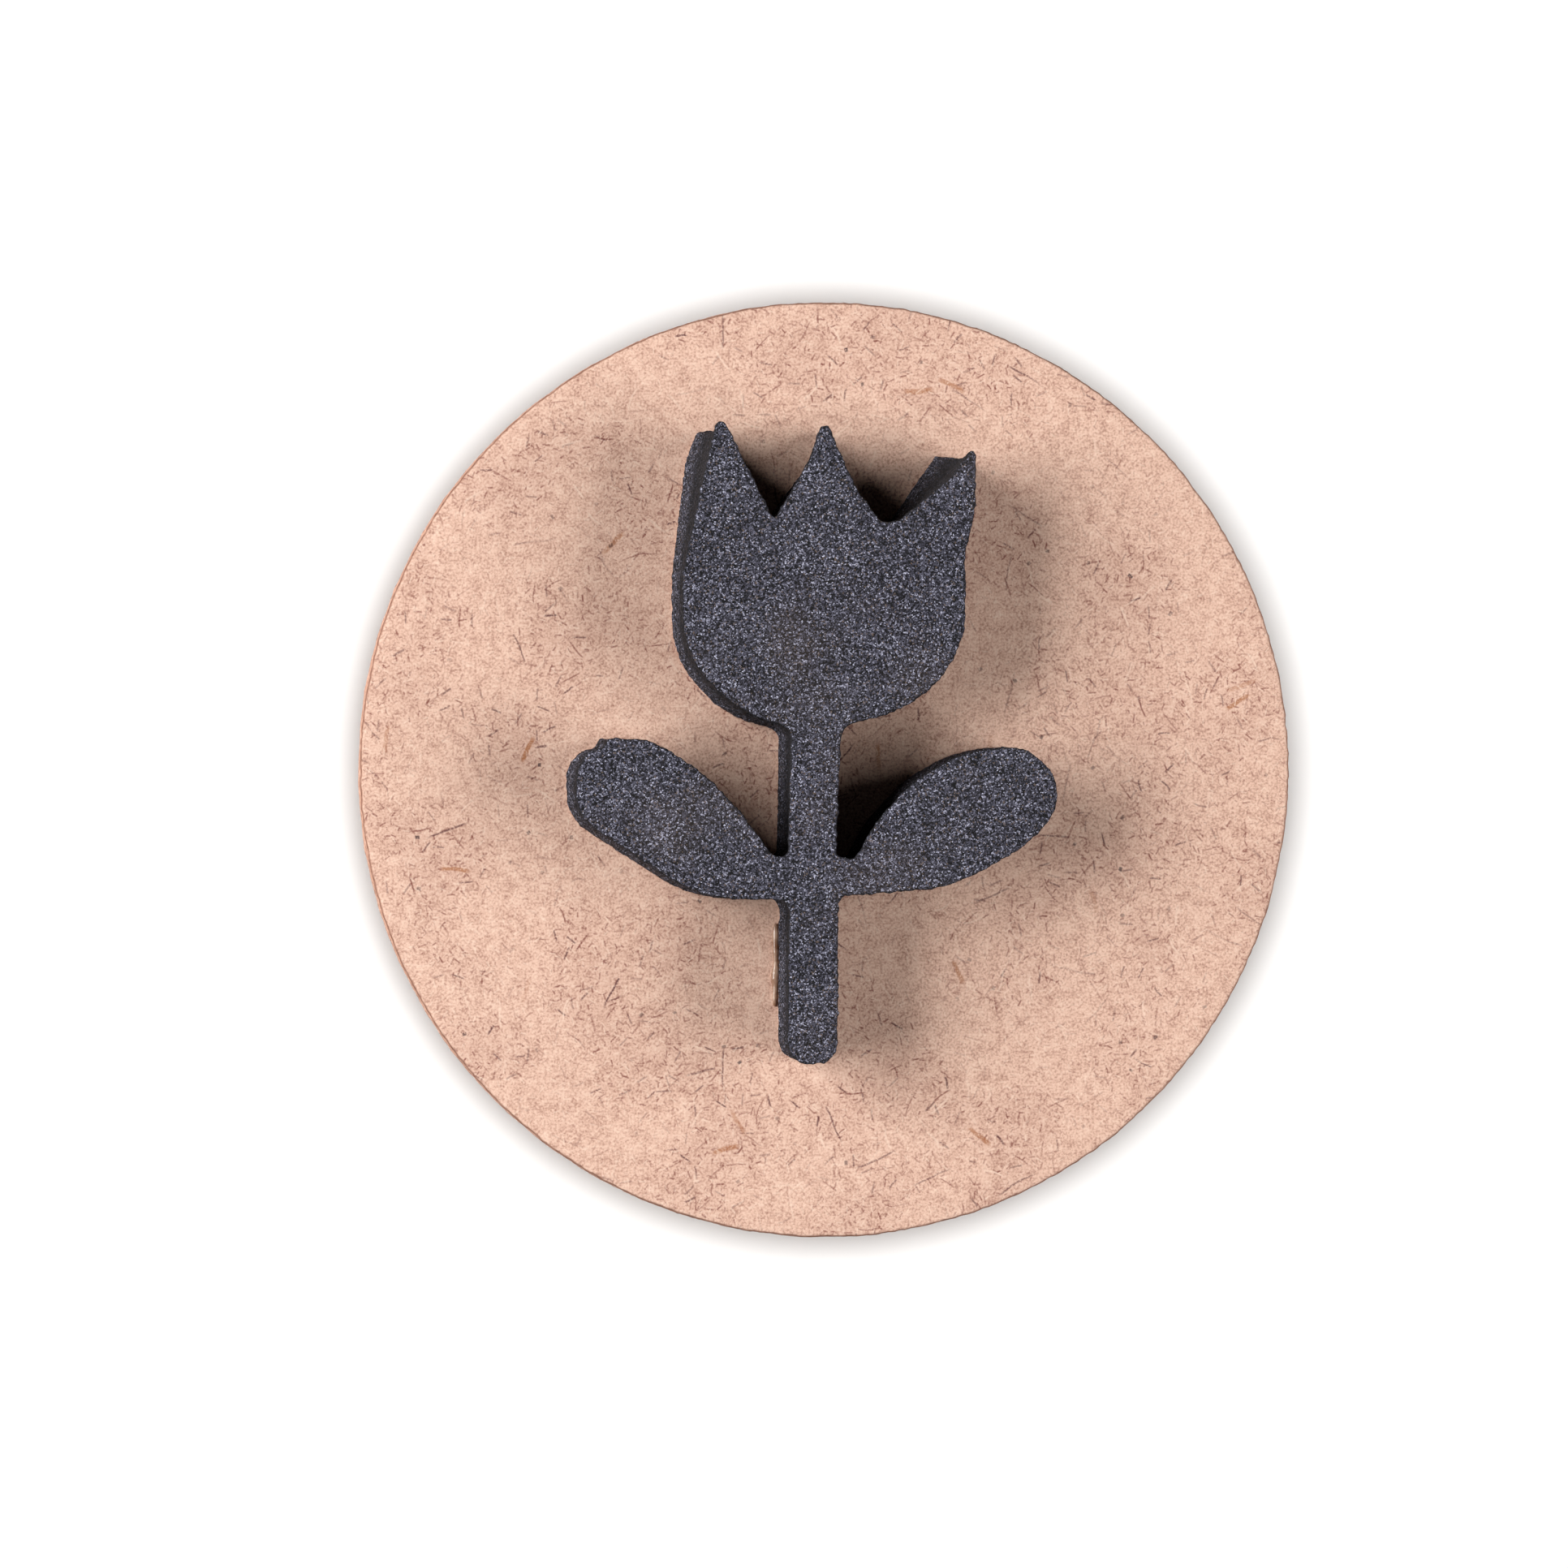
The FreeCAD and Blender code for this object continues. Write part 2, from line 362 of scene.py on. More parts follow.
def fibre_layer(add, place, cell, length, width, share, bend, offset):
    """Mask of single wood fibres that lie flat on a board face, all sizes in millimetres.

    The face is split into cells about a point each. Every cell draws three random numbers: the first turns
    the fibre, the second bends it into a shallow parabola and sets how dark it is, and the third leaves it
    out of most cells. Each layer has its own offset, so that no two show the same part of the pattern.
    """
    moved = add("VectorMath", {0: place, 1: (offset, offset * 0.7, 0.0)})
    cells = add("TexVoronoi", {"Vector": moved, "Scale": 1 / cell}, voronoi_dimensions="2D")
    first, second, third = add("SeparateColor", {0: cells.outputs["Color"]}).outputs
    centred = add("VectorMath", {0: moved, 1: cells.outputs["Position"]}, operation="SUBTRACT")
    turn = add("Math", {0: first, 1: math.tau}, operation="MULTIPLY")
    turned = add("VectorRotate", {"Vector": centred, "Angle": turn}, rotation_type="Z_AXIS")
    along, across, _ = add("SeparateXYZ", {0: turned}).outputs
    squared = add("Math", {0: along, 1: along}, operation="MULTIPLY")
    bow = add("Math", {0: second, 1: -bend}, operation="MULTIPLY")
    straightened = add("Math", {0: squared, 1: bow, 2: across}, operation="MULTIPLY_ADD")
    to_middle = add("Math", {0: along}, operation="ABSOLUTE")
    to_line = add("Math", {0: straightened}, operation="ABSOLUTE")
    end = add("MapRange", {"Value": to_middle, "From Min": length * 0.30,
                           "From Max": length * 0.5, "To Min": 1.0, "To Max": 0.0}, **SMOOTH)
    side = add("MapRange", {"Value": to_line, "From Min": width * 0.25,
                            "From Max": width * 0.6, "To Min": 1.0, "To Max": 0.0}, **SMOOTH)
    kept = add("Math", {0: third, 1: share}, operation="LESS_THAN")
    strength = add("MapRange", {"Value": second, "To Min": 0.45})
    mask = add("Math", {0: end, 1: side}, operation="MULTIPLY")
    mask = add("Math", {0: mask, 1: kept}, operation="MULTIPLY")
    return add("Math", {0: mask, 1: strength}, operation="MULTIPLY")


def foam_material(props):
    """EVA foam, black, cut from a sheet.

    Its dry, open-looking grains have painted shade in their open cells, and painted light and grey glints
    on their skins.
    """
    material, add, shader, place = new_material("eva_foam")
    grain = props.grain_size / MM
    # Each grain draws a random grey, broken up by a finer noise and changed a little from place to place.
    # The ramp paints this grey as shade in pits and in cells turned from the light, and as light and glints
    # on skins turned to it.
    cells = add("TexVoronoi", {"Vector": place, "Scale": 1 / grain})
    own_grey, own_dust, _ = add("SeparateColor", {0: cells.outputs["Color"]}).outputs
    fine = add("TexNoise", {"Vector": place, "Scale": 1.3 / grain, "Detail": 2.0, "Roughness": 0.6})
    broad = add("TexNoise", {"Vector": place, "Scale": 1 / 5.0, "Detail": 1.0})
    shade = add("Math", {0: own_grey, 1: 0.50}, operation="MULTIPLY")
    shade = add("Math", {0: fine, 1: 0.55, 2: shade}, operation="MULTIPLY_ADD")
    shade = add("Math", {0: broad, 1: 0.05, 2: shade}, operation="MULTIPLY_ADD")
    colour = add("ValToRGB", {0: shade}, stops=(
        (0.41, props.painted_shade_colour),
        (0.55, props.cell_shade_colour),
        (0.74, props.lit_skin_colour),
        (0.90, props.sparkle_colour),
    ))
    # Board dust: broad, faint brown patches, and one brown grain in 25.
    patch = add("TexNoise", {"Vector": place, "Scale": 1 / 9.0, "Detail": 3.0})
    patch = add("MapRange", {"Value": patch, "From Min": 0.50, "From Max": 0.75, "To Max": 0.09}, **SMOOTH)
    brown = add("Math", {0: own_dust, 1: 0.96}, operation="GREATER_THAN")
    brown = add("Math", {0: brown, 1: 0.5}, operation="MULTIPLY")
    for dust in (patch, brown):
        colour = add("Mix", {SHARE: dust, UNDER: colour, OVER: props.dust_colour}, data_type="RGBA")
    # The sides are cut through the foam and painted darker than the face, partly as the cut's own colour
    # and partly as painted shade. Along the board they are painted lighter, as light caught by the lip at
    # the foot.
    facing = add("NewGeometry", {}).outputs["Normal"]
    upright = add("SeparateXYZ", {0: facing}).outputs["Z"]
    side = add("MapRange", {"Value": upright, "From Min": 0.45, "From Max": 0.90,
                            "To Min": 0.90, "To Max": 0.0}, **SMOOTH)
    height = add("SeparateXYZ", {0: place}).outputs["Z"]
    bottom = props.bottom / MM
    lip = add("MapRange", {"Value": height, "From Min": bottom + 0.8, "From Max": bottom + 2.6,
                           "To Min": 0.45}, **SMOOTH)
    dark = add("Math", {0: side, 1: lip}, operation="MULTIPLY")
    colour = add("Mix", {SHARE: dark, UNDER: colour, OVER: props.painted_shade_colour}, data_type="RGBA")
    relief = add("Math", {0: cells, 1: -0.6, 2: fine}, operation="MULTIPLY_ADD")
    bump = add("Bump", {"Height": relief, "Strength": 0.8, "Distance": 0.10 * MM})
    set_inputs(shader, {"Base Color": colour, "Normal": bump, "Roughness": 0.85,
                        "Specular IOR Level": 0.3})
    return material


def fibreboard_material(props):
    """Medium density fibreboard, sawn and left bare.

    Pressed wood fibres give a matt tan ground, with brown flecks and hairs that lie every way.
    """
    material, add, shader, place = new_material("bare_fibreboard")
    # Fibres follow a slow wobble instead of lying dead straight.
    wobble = add("TexNoise", {"Vector": place, "Scale": 1 / 2.2, "Detail": 1.0})
    wobble = add("VectorMath", {0: wobble.outputs["Color"], 1: (0.5, 0.5, 0.5)}, operation="SUBTRACT")
    wobble = add("VectorMath", {0: wobble, "Scale": 0.55}, operation="SCALE")
    wavy = add("VectorMath", {0: place, 1: wobble})

    # Ground: a fine mottle with a softer one in it.
    fine = add("TexNoise", {"Vector": place, "Scale": 1 / 0.20, "Detail": 3.0, "Roughness": 0.65})
    soft = add("TexNoise", {"Vector": place, "Scale": 1 / 1.1, "Detail": 3.0, "Roughness": 0.6})
    shade = add("Math", {0: fine, 1: 0.68}, operation="MULTIPLY")
    shade = add("Math", {0: soft, 1: 0.32, 2: shade}, operation="MULTIPLY_ADD")
    colour = add("ValToRGB", {0: shade}, stops=(
        (0.30, props.dark_colour),
        (0.52, props.board_colour),
        (0.72, props.pale_colour),
    ))

    # Dark fibres crowd together in patches, which are browner, and break up along their length. Pale
    # fibres lie everywhere.
    patch = add("TexNoise", {"Vector": place, "Scale": 1 / 7.0, "Detail": 2.0})
    cluster = add("MapRange", {"Value": patch, "From Min": 0.38, "From Max": 0.60,
                               "To Min": 0.30}, **SMOOTH)
    stain = add("MapRange", {"Value": patch, "From Min": 0.46, "From Max": 0.66, "To Max": 0.10}, **SMOOTH)
    colour = add("Mix", {SHARE: stain, UNDER: colour, OVER: props.fleck_colour}, data_type="RGBA")
    ragged = add("TexNoise", {"Vector": place, "Scale": 1 / 0.16, "Detail": 2.0, "Roughness": 0.6})
    ragged = add("MapRange", {"Value": ragged, "From Min": 0.32, "From Max": 0.50}, **SMOOTH)
    crowded = add("Math", {0: ragged, 1: cluster}, operation="MULTIPLY")
    layers = (
        # cell, length, width, share of cells, bend, offset, strength, what thins the layer out, colour
        (0.45, 0.34, 0.13, 0.40, 0.05, 19.0, 0.60, crowded, props.fleck_colour),
        (0.62, 0.50, 0.15, 0.42, 0.08, 11.0, 0.75, crowded, props.fleck_colour),
        (0.90, 0.75, 0.15, 0.38, 0.08, 37.0, 0.85, crowded, props.fleck_colour),
        (1.5, 1.20, 0.17, 0.30, 0.06, 53.0, 0.85, crowded, props.fibre_colour),
        (2.4, 2.0, 0.15, 0.24, 0.06, 71.0, 0.85, crowded, props.fleck_colour),
        (4.6, 3.8, 0.17, 0.20, 0.04, 97.0, 0.90, crowded, props.fibre_colour),
        (4.4, 2.6, 0.40, 0.10, 0.03, 173.0, 0.90, crowded, props.splinter_colour),
        (2.6, 0.42, 0.30, 0.16, 0.0, 211.0, 0.95, crowded, props.speck_colour),
        (0.8, 0.65, 0.12, 0.40, 0.15, 113.0, 0.50, 1.0, props.pale_colour),
        (2.6, 2.0, 0.18, 0.20, 0.15, 131.0, 0.50, 1.0, props.pale_colour),
    )
    for *sizes, strength, thinning, tint in layers:
        mask = fibre_layer(add, wavy, *sizes)
        mask = add("Math", {0: mask, 1: strength}, operation="MULTIPLY")
        mask = add("Math", {0: mask, 1: thinning}, operation="MULTIPLY")
        colour = add("Mix", {SHARE: mask, UNDER: colour, OVER: tint}, data_type="RGBA")

    # The sawn side shows the board's layers, and its corners are scorched darker.
    facing = add("NewGeometry", {}).outputs["Normal"]
    upright = add("SeparateXYZ", {0: facing}).outputs["Z"]
    upright = add("Math", {0: upright}, operation="ABSOLUTE")
    layered = add("VectorMath", {0: place, 1: (1.0, 1.0, 3.0)}, operation="MULTIPLY")
    side_shade = add("TexNoise", {"Vector": layered, "Scale": 1 / 0.5, "Detail": 3.0, "Roughness": 0.65})
    side_colour = add("ValToRGB", {0: side_shade}, stops=(
        (0.32, props.scorch_colour),
        (0.52, props.side_colour),
        (0.72, props.board_colour),
    ))
    cut = add("MapRange", {"Value": upright, "From Min": 0.60, "From Max": 0.97,
                           "To Min": 1.0, "To Max": 0.0}, **SMOOTH)
    colour = add("Mix", {SHARE: cut, UNDER: colour, OVER: side_colour}, data_type="RGBA")
    corner = add("MapRange", {"Value": upright, "From Min": 0.10, "From Max": 0.50,
                              "To Max": 0.75}, **SMOOTH)
    corner = add("Math", {0: corner, 1: cut}, operation="MULTIPLY")
    colour = add("Mix", {SHARE: corner, UNDER: colour, OVER: props.scorch_colour}, data_type="RGBA")

    bump = add("Bump", {"Height": shade, "Strength": 0.5, "Distance": 0.10 * MM})
    set_inputs(shader, {"Base Color": colour, "Normal": bump, "Roughness": 0.9,
                        "Specular IOR Level": 0.25})
    return material


def beech_material(props):
    """Beech, turned and sanded.

    It is a pale pinkish tan, with faint rings and short dark flecks that run along the grain.
    """
    material, add, shader, place = new_material("turned_beech")
    # The grain runs along the knob: its noise is drawn out about eight times that way.
    stretched = add("VectorMath", {0: place, 1: (1.0, 1.0, 0.12)}, operation="MULTIPLY")
    straight = add("TexNoise", {"Vector": stretched, "Scale": 1 / 1.4, "Detail": 4.0, "Roughness": 0.6})
    # The knob was cut from beside the tree's middle, so the year rings have their middle outside it.
    off_centre = add("VectorMath", {0: stretched, 1: (9.0, 21.0, 0.0)})
    rings = add("TexWave", {"Vector": off_centre, "Scale": 0.16, "Distortion": 3.0, "Detail": 2.0,
                            "Detail Scale": 0.6}, wave_type="RINGS", rings_direction="Z")
    shade = add("Math", {0: straight, 1: 0.80}, operation="MULTIPLY")
    shade = add("Math", {0: rings.outputs["Fac"], 1: 0.20, 2: shade}, operation="MULTIPLY_ADD")
    colour = add("ValToRGB", {0: shade}, stops=(
        (0.20, props.ring_colour),
        (0.55, props.wood_colour),
        (0.80, props.pale_colour),
    ))
    # Flecks: 0.55 mm cells drawn out six times along the grain, of which four in ten hold a fleck.
    slender = add("VectorMath", {0: place, 1: (1.0, 1.0, 0.16)}, operation="MULTIPLY")
    cells = add("TexVoronoi", {"Vector": slender, "Scale": 1 / 0.55})
    draw = add("SeparateColor", {0: cells.outputs["Color"]})
    spot = add("MapRange", {"Value": cells, "From Min": 0.10, "From Max": 0.26,
                            "To Min": 0.65, "To Max": 0.0}, **SMOOTH)
    kept = add("Math", {0: draw, 1: 0.40}, operation="LESS_THAN")
    spot = add("Math", {0: spot, 1: kept}, operation="MULTIPLY")
    colour = add("Mix", {SHARE: spot, UNDER: colour, OVER: props.fleck_colour}, data_type="RGBA")
    # Sandpaper on the turning knob leaves lines 0.3 mm apart right round it.
    tool_marks = add("VectorMath", {0: place, 1: (0.02, 0.02, 1.0)}, operation="MULTIPLY")
    lines = add("TexNoise", {"Vector": tool_marks, "Scale": 1 / 0.30, "Detail": 2.0})
    relief = add("Math", {0: straight, 1: 0.5, 2: lines}, operation="MULTIPLY_ADD")
    bump = add("Bump", {"Height": relief, "Strength": 0.35, "Distance": 0.06 * MM})
    set_inputs(shader, {"Base Color": colour, "Normal": bump, "Roughness": 0.48})
    return material


def hot_melt_material(name, props):
    """Hot melt glue, set: cloudy amber resin with a wet shine and small dents."""
    material, add, shader, place = new_material(name)
    cloud = add("TexNoise", {"Vector": place, "Scale": 1 / 0.8, "Detail": 2.0})
    colour = add("ValToRGB", {0: cloud}, stops=(
        (0.30, props.thick_colour),
        (0.70, props.thin_colour),
    ))
    dents = add("TexNoise", {"Vector": place, "Scale": 1 / 0.5, "Detail": 1.0})
    bump = add("Bump", {"Height": dents, "Strength": 0.4, "Distance": 0.10 * MM})
    set_inputs(shader, {"Base Color": colour, "Normal": bump, "Roughness": 0.12, "IOR": 1.48,
                        "Transmission Weight": 0.45})
    return material


def card_material(props):
    """Matt white card: nearly even, with a faint tooth painted in as shade."""
    material, add, shader, place = new_material("white_card")
    # The tooth is painted shade: a faint noise mixes in up to 6 % of a darker colour, with no bump.
    tooth = add("TexNoise", {"Vector": place, "Scale": 1 / 1.5, "Detail": 2.0})
    tooth = add("Math", {0: tooth, 1: 0.06}, operation="MULTIPLY")
    colour = add("Mix", {SHARE: tooth, UNDER: props.card_colour, OVER: props.tooth_shade_colour},
           data_type="RGBA")
    set_inputs(shader, {"Base Color": colour, "Roughness": 0.95, "Specular IOR Level": 0.1})
    return material


# Sizes and colours that a user would change

# Lowest value, in millimetres, of a place that may lie on either side of the board's middle.
EITHER_SIDE = -1000.0


def length_property(name, description, default, low=0.0):
    """A property for a length, from a default and a lowest value in millimetres."""
    return bpy.props.FloatProperty(name=name, description=description, default=default * MM, min=low * MM,
                                   precision=5, subtype="DISTANCE", unit="LENGTH")


def angle_property(name, description, degrees):
    """A property for an angle, from a default in degrees."""
    return bpy.props.FloatProperty(name=name, description=description, default=math.radians(degrees),
                                   subtype="ANGLE", unit="ROTATION")


def colour_property(name, description, hex_colour):
    """A property for a colour, from an sRGB hex value."""
    return bpy.props.FloatVectorProperty(name=name, description=description, default=linear(hex_colour),
                                         size=4, min=0.0, max=1.0, subtype="COLOR")


def level_property(name, description, default):
    """A property for a brightness, where 1 lights a white card to full white."""
    return bpy.props.FloatProperty(name=name, description=description, default=default, min=0.0)


def seed_property(default):
    """A property for the seed of a piece's random numbers."""
    return bpy.props.IntProperty(name="Seed", description="Start of the random numbers", default=default,
                                 min=0)


class FoamDieSettings(bpy.types.PropertyGroup):
    """Foam tulip."""
    bottom: length_property("Bottom", "Height of the foam's glued side", span("foam_tulip", 2)[0])
    face: length_property("Printing face", "Height of the foam's printing face", span("foam_tulip", 2)[1])
    wall_dip: length_property("Wall dip", "How far the cut wall hollows in at its middle", 0.55)
    edge_round: length_property("Edge rounding", "Radius of the worn edge round the printing face", 0.20)
    voxel: length_property("Mesh fineness", "Size of the cells that the foam is remeshed with", 0.16)
    crumb: length_property("Crumb", "How far the cut cells stand in and out", 0.05)
    grain_size: length_property("Grain", "Size of one grain in the colour of the foam", 0.11)
    # The grain colours are painted shade and light: pits and cells turned from the light, skins turned to
    # it, and glints.
    painted_shade_colour: colour_property("Pit colour", "Open cells and the shaded sides", "#060508")
    cell_shade_colour: colour_property("Cell colour", "Cell walls turned from the light", "#302f39")
    lit_skin_colour: colour_property("Skin colour", "Cell skins turned to the light", "#595867")
    sparkle_colour: colour_property("Sparkle colour", "The few skins that shine", "#dcdcf2")
    dust_colour: colour_property("Dust colour", "Board dust on the foam", "#7a685c")
    seed: seed_property(5)


class GlueSettings(bpy.types.PropertyGroup):
    """Hot melt glue."""
    bottom: length_property("Bottom", "Height of the board's face", span("foam_glue", 2)[0])
    film: length_property("Film", "Thickness of the glue under the foam", 0.2)
    inset: length_property("Inset", "How far the film stays inside the foam's outline", 0.15)
    bead_width: length_property("Bead width", "Greatest width of the bead beside the stem", 0.78)
    bead_length: length_property("Bead length", "Length of the bead beside the stem", 6.7)
    bead_x: length_property("Bead X", "Place of the bead along X", -4.24, EITHER_SIDE)
    bead_y: length_property("Bead Y", "Place of the bead's lower end along Y", -19.0, EITHER_SIDE)
    ring_low: length_property("Ring bottom", "Lowest place of the ring of glue", span("knob_glue", 2)[0])
    ring_high: length_property("Ring top", "Highest place of the knob's glue", span("knob_glue", 2)[1])
    ring_radius: length_property("Ring radius", "Outer radius of the ring round the knob's foot", 10.8)
    thick_colour: colour_property("Thick colour", "Glue where it is thick", "#9a7058")
    thin_colour: colour_property("Thin colour", "Glue where it is thin", "#dcbca4")
    seed: seed_property(21)


class BoardSettings(bpy.types.PropertyGroup):
    """Round fibreboard."""
    radius: length_property("Radius", "Radius of the round board", span("mdf_disc", 0)[1])
    bottom: length_property("Bottom", "Height of the board's back", span("mdf_disc", 2)[0])
    face: length_property("Face", "Height of the board's front", span("mdf_disc", 2)[1])
    edge_break: length_property("Edge break", "Radius of the softened rims", 0.30)
    rim_crumb: length_property("Rim crumb", "How far the sawn rim wanders in and out", 0.09)
    board_colour: colour_property("Board colour", "Ground of the board", "#dab4a0")
    dark_colour: colour_property("Dark colour", "Dark spots of the mottle", "#956a5a")
    pale_colour: colour_property("Pale colour", "Pale spots of the mottle and pale fibres", "#ebd0bc")
    fleck_colour: colour_property("Fleck colour", "Short flecks and fine hairs", "#79433a")
    fibre_colour: colour_property("Fibre colour", "Long dark fibres", "#573236")
    splinter_colour: colour_property("Splinter colour", "Broad splinters", "#a0663f")
    speck_colour: colour_property("Speck colour", "Round dark specks", "#36262e")
    side_colour: colour_property("Side colour", "Sawn side", "#b88b75")
    scorch_colour: colour_property("Scorch colour", "Scorched corners of the sawn side", "#6f4a3c")
    seed: seed_property(8)


class KnobSettings(bpy.types.PropertyGroup):
    """Turned knob."""
    height: length_property("Height", "Height of the knob", span("knob", 2)[1])
    end_radius: length_property("End radius", "Radius of the flat end", 9.5)
    grip_radius: length_property("Grip radius", "Radius at the widest place", span("knob", 0)[1])
    waist_radius: length_property("Waist radius", "Radius at the narrowest place", 7.5)
    seat_radius: length_property("Seat radius", "Radius of the glued foot", 10.0)
    grip_height: length_property("Grip height", "Height of the widest place", 7.5)
    waist_height: length_property("Waist height", "Height of the narrowest place", 15.0)
    foot_height: length_property("Foot height", "Height where the straight rim of the foot starts", 18.5)
    corner_break: length_property("Corner break", "Width of the broken corners of the foot", 0.15)
    tool_mark: length_property("Tool mark", "Depth of the lines left by turning", 0.012)
    wood_colour: colour_property("Wood colour", "Ground of the wood", "#d5b088")
    ring_colour: colour_property("Ring colour", "Dark side of the year rings", "#b98a62")
    pale_colour: colour_property("Pale colour", "Pale side of the year rings", "#e2c4a2")
    fleck_colour: colour_property("Fleck colour", "Short dark flecks", "#8c5f3f")
    seed: seed_property(3)


class StudioSettings(bpy.types.PropertyGroup):
    """Camera, lights and floor."""
    aim_x: length_property("Aim X", "Place that the camera looks at along X", -3.53, EITHER_SIDE)
    aim_y: length_property("Aim Y", "Place that the camera looks at along Y", -1.14, EITHER_SIDE)
    lean: angle_property("Lean", "How far the camera stands to the left of straight above", 6.3)
    distance: length_property("Distance", "From the board to the camera", 600.0)
    framing: length_property("Framing", "Width of what the camera sees at the board", 125.7)
    light_distance: length_property("Light distance", "From the board to the soft lights", 800.0)
    left_level: level_property("Left light", "Brightness of white card lit by the left light", 0.97)
    right_level: level_property("Right light", "Brightness of white card lit by the right light", 0.555)
    floor_level: level_property("Floor light", "Brightness of the floor", 0.70)
    floor_softness: angle_property("Floor softness", "Angle that the floor light fills", 22.0)
    floor_radius: length_property("Floor radius", "Radius of the round floor", 3000.0)
    lamp_level: level_property("Floor lamp", "Extra brightness of the floor round the stamp", 0.58)
    lamp_height: length_property("Lamp height", "From the board to the floor lamp", 344.0)
    lamp_x: length_property("Lamp X", "Place of the floor lamp along X", -41.0, EITHER_SIDE)
    lamp_size: length_property("Lamp size", "Width of the floor lamp", 54.0)
    card_colour: colour_property("Card colour", "The floor", "#f4f4f3")
    tooth_shade_colour: colour_property("Tooth colour", "Dark side of the floor's faint tooth", "#d8d8d6")
    backdrop_colour: colour_property("Backdrop colour", "What the camera sees past the floor", "#f4f4f4")


# Pieces

class FOAM_STAMP_OT_foam_die(bpy.types.Operator):
    """Cut the tulip from foam"""
    bl_idname = "foam_stamp.foam_die"
    bl_label = "Foam tulip"

    def execute(self, context):
        props = context.scene.foam_die
        bottom = props.bottom / MM
        height = props.face / MM - bottom
        edge = props.edge_round / MM
        # Wall: at each height the outline draws in by a parabola. The last heights follow a quarter circle
        # inwards, to round the edge of the face.
        edge_start = 1 - edge / height
        wall = np.linspace(0, edge_start, 12)
        turn = np.linspace(0, math.pi / 2, 6)[1:]
        levels = np.concatenate([wall, edge_start + edge / height * np.sin(turn)])
        insets = np.concatenate([np.zeros(len(wall)), edge * (1 - np.cos(turn))])
        insets = insets + props.wall_dip / MM * 4 * levels * (1 - levels)
        rings = []
        for part, inset in zip(levels, insets):
            outline = tulip_outline(part)
            outline = outline - inset * outward(outline)
            rings.append(np.column_stack([outline, np.full(len(outline), bottom + part * height)]))
        block = new_mesh("foam_block", skin(np.array(rings)[:, ::-1], flat_ends=True))
        mesh = remeshed(block, "foam_die", props.voxel)
        # Crumb: two sizes of noise push the skin in and out along its normals, more on the cut sides than
        # on the face. It fades out over the glued height, so that the foam stays flat on the board.
        glued_height = 0.3
        side_share = 2.8
        face_share = 0.7
        place = vertex_array(mesh.vertices, "co")
        normal = vertex_array(mesh.vertex_normals, "vector")
        in_mm = place / MM
        noise = layered_noise(in_mm, ((0.7, 0.28), (0.4, 0.55)), props.seed)
        above_glue = np.clip((in_mm[:, 2] - bottom) / glued_height, 0, 1)
        share = side_share + (face_share - side_share) * np.clip(normal[:, 2], 0, 1)
        crumb = noise * props.crumb * above_glue * share
        place = place + normal * crumb[:, None]
        mesh.vertices.foreach_set("co", place.astype(np.float32).ravel())
        mesh.update()
        piece = finish_piece("foam_die", mesh, foam_material(props), "foam_tulip", math.pi)
        return {"FINISHED"}


class FOAM_STAMP_OT_foam_glue(bpy.types.Operator):
    """Lay the glue film under the foam and the bead beside the stem"""
    bl_idname = "foam_stamp.foam_glue"
    bl_label = "Foam glue"

    def execute(self, context):
        props = context.scene.glue
        bottom = props.bottom / MM
        # Film: the foam's outline at the board, drawn in a little and carried up by the film's thickness.
        outline = tulip_outline(0, steps=8)
        outline = outline - props.inset / MM * outward(outline)
        levels = (bottom, bottom + props.film / MM)
        rings = np.array([np.column_stack([outline, np.full(len(outline), level)]) for level in levels])
        film = skin(rings[:, ::-1], flat_ends=True)

        # Bead: a round section, flat below, carried along the stem. Its radius swells and shrinks by noise,
        # and a fourth root brings it to nothing at both ends. A slower noise makes its middle line wander.
        swell_size = 1.1
        wander_size = 1.9
        wander = 0.08
        lift = 0.06
        along = np.linspace(0, 1, 60)
        line_y = (props.bead_y + along * props.bead_length) / MM
        still = np.zeros(len(along))
        swell = value_noise(np.column_stack([line_y, still, still]), swell_size, props.seed)
        drift = value_noise(np.column_stack([line_y, still, still + 9]), wander_size, props.seed)
        ends = np.clip(4 * along * (1 - along), 0, 1) ** 0.25
        radius = props.bead_width / MM / 2 * (0.72 + 0.28 * swell) * ends
        radius = np.maximum(radius, 0.01)[:, None]
        angle = np.linspace(0, 2 * math.pi, 20, endpoint=False)
        bead_x = props.bead_x / MM + wander * drift[:, None] + radius * np.cos(angle)
        bead_z = bottom + lift + radius * np.maximum(np.sin(angle), -0.15)
        bead_y = np.broadcast_to(line_y[:, None], bead_x.shape)
        bead = skin(np.stack([bead_x, bead_y, bead_z], axis=-1)[:, ::-1])

        material = hot_melt_material("foam_hot_melt", props)
        mesh = new_mesh("foam_glue", film, bead)
        finish_piece("foam_glue_film", mesh, material, "foam_glue", math.radians(50))
        return {"FINISHED"}


